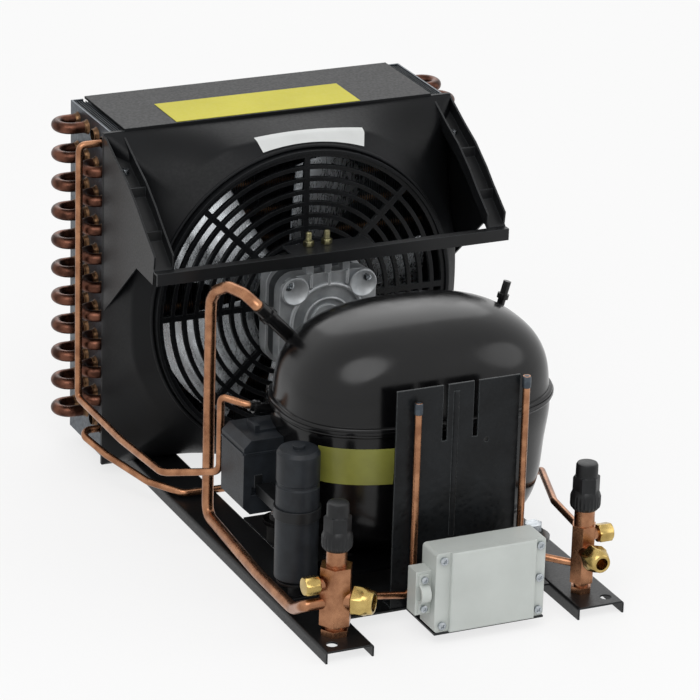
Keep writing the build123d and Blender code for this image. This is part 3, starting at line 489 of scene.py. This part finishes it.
def closed_turned(bm, profile, origin, axis, steps=32, shape=None):
    """A turned skin with both ends filled."""
    rings = turned(bm, profile, origin, axis, steps, shape)
    bm.faces.new(rings[0])
    bm.faces.new(rings[-1])


def ring_section(radius, thick, sides=8):
    """A closed round section, for a bead turned about an axis."""
    turns = [2 * math.pi * i / sides for i in range(sides + 1)]
    return [(radius + thick * math.cos(t), thick * math.sin(t)) for t in turns]


def slab(bm, low, high, bevel=0.0):
    """Adds a block between two corners, with its edges rounded."""
    start = Vector(low) * MM
    size = (Vector(high) - Vector(low)) * MM
    place = Matrix.Translation(start + size / 2) @ Matrix.Diagonal((*size, 1.0))
    made = bmesh.ops.create_cube(bm, size=1.0, matrix=place)
    if bevel:
        edges = {e for v in made["verts"] for e in v.link_edges}
        bmesh.ops.bevel(bm, geom=list(edges), offset=bevel * MM, segments=2, affect="EDGES")


def tube(bm, points, radius, steps=10):
    """Adds a closed loop of round bar through the points."""
    count = len(points)
    rings = []
    for i, point in enumerate(points):
        ahead = (Vector(points[(i + 1) % count]) - Vector(points[i - 1])).normalized()
        side = ahead.cross(Vector((0, 0, 1))).normalized()
        up = side.cross(ahead)
        ring = []
        for k in range(steps):
            turn = 2 * math.pi * k / steps
            spot = Vector(point) + (side * math.cos(turn) + up * math.sin(turn)) * radius
            ring.append(bm.verts.new(spot * MM))
        rings.append(ring)
    bridge(bm, rings + rings[:1])


def solids(name):
    """The lowest and highest corners of each separate solid in a CAD node."""
    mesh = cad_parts[name].data
    spots = [tuple(round(c, 5) for c in v.co) for v in mesh.vertices]
    parent = {spot: spot for spot in spots}

    def root(spot):
        while parent[spot] != spot:
            spot = parent[spot]
        return spot

    for polygon in mesh.polygons:
        for i in polygon.vertices[1:]:
            parent[root(spots[i])] = root(spots[polygon.vertices[0]])
    groups = {}
    for spot in parent:
        groups.setdefault(root(spot), []).append(Vector(spot) / MM)
    boxes = []
    for members in groups.values():
        low = Vector([min(m[k] for m in members) for k in range(3)])
        high = Vector([max(m[k] for m in members) for k in range(3)])
        boxes.append((low, high))
    return sorted(boxes, key=lambda b: tuple(b[0]))


def film(name, node_name, spots, direction, material):
    """Lays a thin sheet on a CAD surface: spots is a grid of points that drop along direction on to it."""
    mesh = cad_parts[node_name].data
    tree = BVHTree.FromPolygons([v.co for v in mesh.vertices], [tuple(p.vertices) for p in mesh.polygons])
    direction = Vector(direction)
    bm = bmesh.new()
    rows = []
    for line in spots:
        row = []
        for spot in line:
            hit, normal, _, _ = tree.ray_cast(Vector(spot) * MM, direction)
            outward = normal if normal.dot(direction) < 0 else -normal
            row.append(bm.verts.new(hit + outward * FILM_LIFT * MM))
        rows.append(row)
    bridge(bm, rows, closed=False)
    bmesh.ops.recalc_face_normals(bm, faces=bm.faces)
    bmesh.ops.solidify(bm, geom=bm.faces[:], thickness=FILM_LIFT * MM * FILM_FILL)
    piece(name, bm, material)


def hexagon(step, steps):
    """How far a hexagon's side lies from its axis at a step of a turn, as a share of its corner radius."""
    turn = 2 * math.pi * step / steps
    side = 2 * math.pi / HEXAGON_SIDES
    return math.cos(side / 2) / math.cos(turn % side - side / 2)


# ---- condenser

def tube_places():
    """Where each tube of the coil runs, as (y, z)."""
    return [(y, FIRST_ROW_Z + row * ROW_PITCH) for y in COLUMNS_Y for row in range(ROWS)]


def fin_pack():
    """Punched fins on their own pitch, in place of the plain block, and the tubes they sit on."""
    bm = bmesh.new()
    count = int(2 * PACK_HALF_WIDTH // FIN_PITCH) + 1
    first = -FIN_PITCH * (count - 1) / 2
    half = FIN_THICKNESS / 2
    for i in range(count):
        x = first + i * FIN_PITCH
        slab(bm, (x - half, FIN_FRONT_Y, FIN_LOW_Z), (x + half, FIN_REAR_Y, FIN_HIGH_Z))
    fins = piece("fin_pack", bm, FOIL)
    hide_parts("coil_fins")
    bm = bmesh.new()
    profile = ((TUBE_R, 0), (TUBE_R, 2 * PACK_HALF_WIDTH))
    for y, z in tube_places():
        closed_turned(bm, profile, (-PACK_HALF_WIDTH, y, z), (1, 0, 0), TUBE_STEPS)
    # The straight tubes take the dark braze finish as painted shade inside the fin pack.
    piece("coil_straight_tubes", bm, BRAZE)


def braze_rings():
    """A fillet of braze and a flared collar where each bend enters the tube sheet."""
    profile = [(TUBE_R + out, distance) for out, distance in BRAZE_PROFILE]
    for side, word in ((-1, "left"), (1, "right")):
        bm = bmesh.new()
        for y, z in tube_places():
            turned(bm, profile, (side * COIL_HALF_WIDTH, y, z), (side, 0, 0), BRAZE_STEPS)
        piece("braze_collars_" + word, bm, BRAZE)


# ---- shroud and fan ring

def shroud_point(turn, share):
    """A point on the shroud: share 0 is its outer edge, 1 the fan ring, with a flatter collar before it."""
    across = math.cos(turn)
    rise = math.sin(turn)
    height = SHROUD_TOP_Z - RING_CENTRE[1] if rise > 0 else RING_CENTRE[1] - SHROUD_LOW_Z
    edge = min(SHROUD_HALF_WIDTH / max(abs(across), TINY), height / max(abs(rise), TINY))
    collar = min(RING_R + COLLAR_WIDTH, RING_R + COLLAR_LEAST + COLLAR_FILL * (edge - RING_R - COLLAR_LEAST))
    if share < COLLAR_SHARE:
        part = share / COLLAR_SHARE
        radius = edge + (collar - edge) * part
        depth = SHROUD_BACK_Y + (COLLAR_Y - SHROUD_BACK_Y) * part ** FUNNEL_POWER
    else:
        part = (share - COLLAR_SHARE) / (1 - COLLAR_SHARE)
        radius = collar + (RING_R + RING_OUT - collar) * part
        depth = COLLAR_Y + (RING_FRONT_Y - COLLAR_Y) * part
    return Vector((RING_CENTRE[0] + radius * across, depth, RING_CENTRE[1] + radius * rise))


def shroud_sheet(bm, turns, shares, lift=0.0, closed=False):
    """Adds a skin over the shroud's form, raised off it by lift."""
    rows = []
    for share in shares:
        row = []
        for turn in turns:
            spot = shroud_point(turn, share)
            if lift:
                side = shroud_point(turn + SLOPE_STEP, share) - spot
                inward = (shroud_point(turn, min(share + SLOPE_STEP, 1.0))
                          - shroud_point(turn, share - SLOPE_STEP))
                spot = spot + side.cross(inward).normalized() * lift
            row.append(bm.verts.new(spot * MM))
        rows.append(row)
    bridge(bm, rows, closed)


def shroud_skin():
    """The pressed face of the shroud, from its square edge to the bead round the fan."""
    corners = [math.atan2(z - RING_CENTRE[1], x)
               for x in (SHROUD_HALF_WIDTH, -SHROUD_HALF_WIDTH)
               for z in (SHROUD_TOP_Z, SHROUD_LOW_Z)]
    turns = sorted([2 * math.pi * k / SHROUD_TURNS - math.pi for k in range(SHROUD_TURNS)] + corners)
    bm = bmesh.new()
    shroud_sheet(bm, turns, spread(0.0, 1.0, SHROUD_SHARES), closed=True)
    piece("shroud_skin", bm, SATIN, sharp=60)
    bm = bmesh.new()
    bead = ring_section(RING_R + BEAD_OUT, BEAD_R)
    turned(bm, bead, (RING_CENTRE[0], RING_FRONT_Y, RING_CENTRE[1]), (0, 1, 0), BEAD_STEPS)
    piece("ring_bead", bm, SATIN)


def ring_label():
    """The bare white label that follows the collar above the fan."""
    turns = [math.radians(t) for t in spread(*RING_LABEL_TURNS, RING_LABEL_GRID[0])]
    bm = bmesh.new()
    shares = spread(*RING_LABEL_SHARES, RING_LABEL_GRID[1])
    shroud_sheet(bm, turns, shares, lift=RING_LABEL_LIFT)
    piece("ring_label", bm, WHITE_FILM)


def top_label():
    """The bare yellow label on the shroud's top plate."""
    columns = spread(*TOP_LABEL_X, TOP_LABEL_GRID[0])
    rows = spread(*TOP_LABEL_Y, TOP_LABEL_GRID[1])
    spots = [[(x, y, OVER_TOP_Z) for x in columns] for y in rows]
    film("top_label", "shroud", spots, (0, 0, -1), YELLOW_FILM)


# ---- compressor

def oval(out, z, count=OVAL_POINTS, scale=1.0):
    """Points round the shell's oval, set out by a distance and drawn in by a scale."""
    power = 2 / OVAL_POWER
    points = []
    for i in range(count):
        turn = 2 * math.pi * i / count
        across = math.copysign(abs(math.cos(turn)) ** power, math.cos(turn))
        along = math.copysign(abs(math.sin(turn)) ** power, math.sin(turn))
        points.append((OVAL_CENTRE[0] + (OVAL_HALF[0] + out) * across * scale,
                       OVAL_CENTRE[1] + (OVAL_HALF[1] + out) * along * scale, z))
    return points


def upper_shell():
    """The drawn dome over its rolled lip, smooth from the seam to the crown."""
    power = 2 / OVAL_POWER
    outlines = [oval(out, z, DOME_POINTS) for out, z in LIP_RINGS]
    for k in range(DOME_FIRST_STEP, DOME_STEPS):
        lean = math.radians(90 * k / DOME_STEPS)
        z = SEAM_Z + (CROWN_Z - SEAM_Z) * math.sin(lean) ** power
        outlines.append(oval(0, z, DOME_POINTS, math.cos(lean) ** power))
    bm = bmesh.new()
    rings = [[bm.verts.new(Vector(spot) * MM) for spot in outline] for outline in outlines]
    bridge(bm, rings)
    bm.faces.new(rings[-1])
    dome = piece("upper_shell_dome", bm, ENAMEL, sharp=55)
    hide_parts("compressor_upper_shell")


def shell_seam():
    """The weld bead under the lip where the two shells meet."""
    bm = bmesh.new()
    tube(bm, oval(SEAM_BEAD_OUT, SEAM_BEAD_Z), SEAM_BEAD_R)
    piece("shell_seam", bm, ENAMEL)


def shell_label():
    """The bare olive label on the lower shell."""
    columns = spread(*SHELL_LABEL_X, SHELL_LABEL_GRID[0])
    rows = spread(*SHELL_LABEL_Z, SHELL_LABEL_GRID[1])
    spots = [[(x, BEFORE_SHELL_Y, z) for x in columns] for z in rows]
    film("shell_label", "compressor_lower_shell", spots, (0, 1, 0), OLIVE_FILM)


# ---- fasteners

def cross_head(bm, centre, axis, radius, height):
    """A domed screw head with a cross recess."""
    axis, side, up = frame_along(axis)
    arm = radius * CROSS_ARM
    slot = radius * CROSS_SLOT
    outline = [(arm, -slot), (arm, slot), (slot, slot), (slot, arm), (-slot, arm), (-slot, slot),
               (-arm, slot), (-arm, -slot), (-slot, -slot), (-slot, -arm), (slot, -arm), (slot, -slot)]

    def spot(a, b, rise):
        return bm.verts.new((Vector(centre) + side * a + up * b + axis * rise) * MM)

    def level(a, b):
        return height * math.sqrt(max(0.0, 1 - DOME_FALL * (math.hypot(a, b) / radius) ** 2))

    rim = [spot(a, b, level(a, b)) for a, b in outline]
    floor = [spot(a * RECESS_TAPER, b * RECESS_TAPER, height * RECESS_FLOOR) for a, b in outline]
    bridge(bm, [rim, floor])
    bm.faces.new(floor)
    rings = [rim]
    for share in spread(0.0, 1.0, HEAD_STEPS + 1)[1:]:
        ring = []
        for a, b in outline:
            turn = math.atan2(b, a)
            reach = math.hypot(a, b) * (1 - share) + radius * share
            across = reach * math.cos(turn)
            along = reach * math.sin(turn)
            ring.append(spot(across, along, level(across, along)))
        rings.append(ring)
    rings.append([bm.verts.new(v.co - axis * height * MM * SKIRT_SHARE) for v in rings[-1]])
    bridge(bm, rings)


def screw_heads(name, node_name):
    """Cross-recessed heads over the plain heads of a node's screws, which all face the front."""
    bm = bmesh.new()
    for low, high in solids(node_name):
        centre = (low + high) / 2
        radius = min(high.x - low.x, high.z - low.z) / 2 + HEAD_OVERHANG
        cross_head(bm, (centre.x, low.y + HEAD_SINK, centre.z), FRONT, radius, HEAD_HEIGHT)
    piece(name, bm, ZINC)


def stud_ends():
    """Hexagon nuts and bare threaded ends on the two studs that hold the motor under its bar."""
    bm = bmesh.new()

    def form(k, distance):
        return hexagon(k, STUD_STEPS) if distance < STUD_HEXAGON_TOP else 1.0

    for low, high in solids("motor_studs"):
        centre = (low + high) / 2
        length = high.z - low.z
        profile = list(STUD_NUT_PROFILE)
        rise = THREAD_START
        while rise < length - THREAD_PITCH:
            profile += [(THREAD_ROOT_R, rise), (THREAD_CREST_R, rise + THREAD_PITCH / 2)]
            rise += THREAD_PITCH
        profile.append((STUD_TIP_R, length))
        closed_turned(bm, profile, (centre.x, centre.y, low.z), (0, 0, 1), STUD_STEPS, form)
    ends = piece("stud_ends", bm, YELLOW_ZINC)
    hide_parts("motor_studs")


# ---- motor and relay

def motor_face():
    """Raised rings, cupped corners and ribs cast into the motor's front shield."""
    bm = bmesh.new()
    for radius, thick in MOTOR_RINGS:
        turned(bm, ring_section(radius, thick), (RING_CENTRE[0], MOTOR_FACE_Y, RING_CENTRE[1]), FRONT,
               MOTOR_RING_STEPS)
    for x in CUP_OFFSETS:
        for z in CUP_OFFSETS:
            place = (RING_CENTRE[0] + x, MOTOR_FACE_Y, RING_CENTRE[1] + z)
            turned(bm, CUP_PROFILE, place, FRONT, CUP_STEPS)
    for x in RIBS_X:
        slab(bm, (x - RIB_HALF, RIB_Y[0], RIB_Z[0]), (x + RIB_HALF, RIB_Y[1], RIB_Z[1]), RIB_ROUND)
    piece("motor_face", bm, CAST_ALLOY)


def relay_trim():
    """The lid's rim round the relay cover, and the small square window in its front."""
    low, high = box_mm("relay_cover")
    bm = bmesh.new()
    slab(bm, (low.x - RIM_OUT, low.y - RIM_OUT, high.z - RIM_BELOW_TOP[0]),
         (high.x + RIM_OUT, high.y + RIM_OUT, high.z - RIM_BELOW_TOP[1]), RIM_ROUND)
    piece("relay_lid_rim", bm, PHENOLIC)
    bm = bmesh.new()
    slab(bm, (high.x - WINDOW_FROM_END[0], low.y - WINDOW_STEP, low.z + WINDOW_Z[0]),
         (high.x - WINDOW_FROM_END[1], low.y + WINDOW_STEP, low.z + WINDOW_Z[1]), WINDOW_ROUND)
    piece("relay_window", bm, NYLON)


# ---- valves and pipes

def knurled_cap(prefix):
    """A service valve's cap: a knurled skirt, a hexagon above it and a round crown."""
    low, high = box_mm(prefix + "_valve_cap")
    centre = (low + high) / 2
    foot = (centre.x, centre.y, low.z)
    radius = (high.x - low.x) / 2

    def form(k, distance):
        if KNURL_Z[0] < distance < KNURL_Z[1]:
            return 1.0 if k % KNURL_PERIOD < KNURL_PERIOD / 2 else KNURL_VALLEY
        if CAP_HEXAGON_Z[0] < distance < CAP_HEXAGON_Z[1]:
            return hexagon(k, CAP_STEPS)
        return 1.0

    bm = bmesh.new()
    profile = [(radius * share, height) for share, height in CAP_PROFILE]
    rings = turned(bm, profile, foot, (0, 0, 1), CAP_STEPS, form)
    bm.faces.new(rings[-1])
    bore = ((radius * CAP_BORE_SHARE, 0), (radius * CAP_BORE_SHARE, CAP_BORE_DEPTH))
    inner = turned(bm, bore, foot, (0, 0, 1), CAP_BORE_STEPS)
    bm.faces.new(inner[-1])
    cap = piece(prefix + "_knurled_cap", bm, NYLON, body=prefix + "_cap", sharp=30)
    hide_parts(prefix + "_valve_cap")


def flare_nut(prefix, axis, corner, bore):
    """A forged flare nut: hexagon behind, cone in front, and the rim of its bore."""
    low, high = box_mm(prefix + "_flare_nut")
    centre = (low + high) / 2

    def form(k, distance):
        return hexagon(k, NUT_STEPS) if distance < NUT_HEXAGON_LENGTH else 1.0

    profile = [(bore, 3), (bore, 0), (corner * 0.86, 0), (corner, 1.2), (corner, 8.8), (corner * 0.9, 10.2),
               (corner * 0.80, 12.5), (bore + 2.4, 16.4), (bore + 1.6, NUT_LENGTH), (bore, NUT_LENGTH),
               (bore, 3)]
    bm = bmesh.new()
    turned(bm, profile, centre - Vector(axis) * NUT_LENGTH / 2, axis, NUT_STEPS, form)
    nut = piece(prefix + "_nut", bm, BRASS)
    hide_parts(prefix + "_flare_nut")


def port_caps():
    """Hexagon caps on the two service ports."""
    def form(k, distance):
        return hexagon(k, NUT_STEPS) if PORT_HEXAGON[0] < distance < PORT_HEXAGON[1] else PORT_END_SHARE

    for prefix, side in (("suction", -1), ("liquid", 1)):
        low, high = box_mm(prefix + "_port_cap")
        axis = Vector((side, 0, 0))
        bm = bmesh.new()
        closed_turned(bm, PORT_CAP_PROFILE, (low + high) / 2 - axis * PORT_CAP_HALF, axis, NUT_STEPS, form)
        cap = piece(prefix + "_hexagon_cap", bm, BRASS)
        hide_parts(prefix + "_port_cap")


def bent_pipe(name, route, radius, bend, node_name):
    """A drawn copper pipe with long soft bends, straight between them."""
    points = [Vector(route[0])]
    for before, corner, after in zip(route, route[1:], route[2:]):
        corner = Vector(corner)
        back = Vector(before) - corner
        ahead = Vector(after) - corner
        points += [corner + back.normalized() * min(bend, back.length * LEG_SHARE), corner,
                   corner + ahead.normalized() * min(bend, ahead.length * LEG_SHARE)]
    points.append(Vector(route[-1]))
    curve = bpy.data.curves.new(name, "CURVE")
    curve.dimensions = "3D"
    curve.bevel_depth = radius * MM
    curve.bevel_resolution = PIPE_SIDES
    curve.resolution_u = PIPE_CUTS
    curve.use_fill_caps = True
    line = curve.splines.new("NURBS")
    line.points.add(len(points) - 1)
    for spot, point in zip(line.points, points):
        spot.co = (*(point * MM), 1.0)
    line.order_u = PIPE_ORDER
    line.use_endpoint_u = True
    curve.materials.append(COPPER)
    made = placed(name, curve)
    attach(made, "chassis")
    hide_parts(node_name)


def tube_caps():
    """Soldered caps on the tops of the two upright pressure tubes."""
    bm = bmesh.new()
    for prefix, side in (("suction", -1), ("liquid", 1)):
        low, high = box_mm(prefix + "_pressure_tube")
        x = (high.x if side < 0 else low.x) + side * PRESSURE_TUBE_R
        foot = (x, PRESSURE_TUBE_Y, high.z - TUBE_CAP_DROP)
        closed_turned(bm, TUBE_CAP_PROFILE, foot, (0, 0, 1), TUBE_CAP_STEPS)
    piece("pressure_tube_caps", bm, GALVANISED)


# ---- studio

def seen_share(tree):
    """An output that is 1 for rays from the camera, mirrors and glass, and 0 for those that only light."""
    rays = node(tree, "LightPath")
    seen = node(tree, "Math", links={0: rays.outputs["Is Camera Ray"], 1: rays.outputs["Is Glossy Ray"]},
                operation="MAXIMUM")
    shown = node(tree, "Math", links={0: seen.outputs[0], 1: rays.outputs["Is Transmission Ray"]},
                 operation="MAXIMUM")
    return shown.outputs[0]


def camera_and_lamps():
    """A long lens from the front left, and three soft round lamps."""
    scene = bpy.context.scene
    camera = placed("camera", bpy.data.cameras.new("camera"))
    camera.data.lens = CAMERA_LENS_MM
    camera.data.sensor_width = SENSOR_MM
    camera.data.clip_end = CAMERA_REACH
    turn = Matrix((CAMERA_RIGHT, CAMERA_UP, [-c for c in CAMERA_FORWARD])).transposed()
    camera.matrix_world = Matrix.Translation(CAMERA_PLACE) @ turn.to_4x4()
    scene.camera = camera
    scene.view_settings.view_transform = "Standard"
    for name, place, size, power in LAMPS:
        lamp = bpy.data.lights.new(name, "AREA")
        lamp.shape = "DISK"
        lamp.size = size
        lamp.energy = power
        made = placed(name, lamp)
        made.location = place
        made.rotation_euler = (Vector(LAMP_AIM) - Vector(place)).to_track_quat("-Z", "Y").to_euler()


def white_room():
    """A world that looks white and lights the shadows a little."""
    world = bpy.data.worlds.new("white_room")
    tree = empty_tree(world)
    level = node(tree, "MapRange", {"To Min": ROOM_LIGHT, "To Max": 1.0}, {"Value": seen_share(tree)})
    sky = node(tree, "Background", {"Color": linear("#FFFFFF")}, {"Strength": level.outputs["Result"]})
    node(tree, "OutputWorld", links={"Surface": sky.outputs["Background"]})
    bpy.context.scene.world = world


def studio_floor():
    """A pale floor that takes soft shadows and fades into the room."""
    material = bpy.data.materials.new("pale_studio_floor")
    tree = empty_tree(material)
    share = node(tree, "MapRange", {"To Max": FLOOR_GLOW}, {"Value": seen_share(tree)})
    paper = node(tree, "BsdfDiffuse", {"Color": linear("#F7F7F7")})
    glow = node(tree, "Emission", {"Color": linear("#FFFFFF"), "Strength": 1.0})
    mix = node(tree, "MixShader", links={0: share.outputs["Result"], 1: paper.outputs[0], 2: glow.outputs[0]})
    node(tree, "OutputMaterial", links={"Surface": mix.outputs[0]})
    bm = bmesh.new()
    bmesh.ops.create_grid(bm, x_segments=FLOOR_CUTS, y_segments=FLOOR_CUTS, size=FLOOR_HALF)
    mesh = bpy.data.meshes.new("studio_floor")
    bm.to_mesh(mesh)
    bm.free()
    mesh.materials.append(material)
    floor = placed("studio_floor", mesh)


dress_nodes()
fin_pack()
braze_rings()
shroud_skin()
ring_label()
top_label()
upper_shell()
shell_seam()
shell_label()
screw_heads("junction_screw_heads", "junction_screws")
screw_heads("motor_screw_heads", "motor_screws")
stud_ends()
knurled_cap("suction")
knurled_cap("liquid")
flare_nut("suction", SUCTION_NUT_AXIS, SUCTION_NUT_CORNER, SUCTION_NUT_BORE)
flare_nut("liquid", FRONT, LIQUID_NUT_CORNER, LIQUID_NUT_BORE)
port_caps()
bent_pipe("suction_pipe", SUCTION_ROUTE, SUCTION_R, SUCTION_BEND, "suction_line")
bent_pipe("discharge_pipe", DISCHARGE_ROUTE, DISCHARGE_R, DISCHARGE_BEND, "discharge_line")
motor_face()
relay_trim()
tube_caps()
camera_and_lamps()
white_room()
studio_floor()
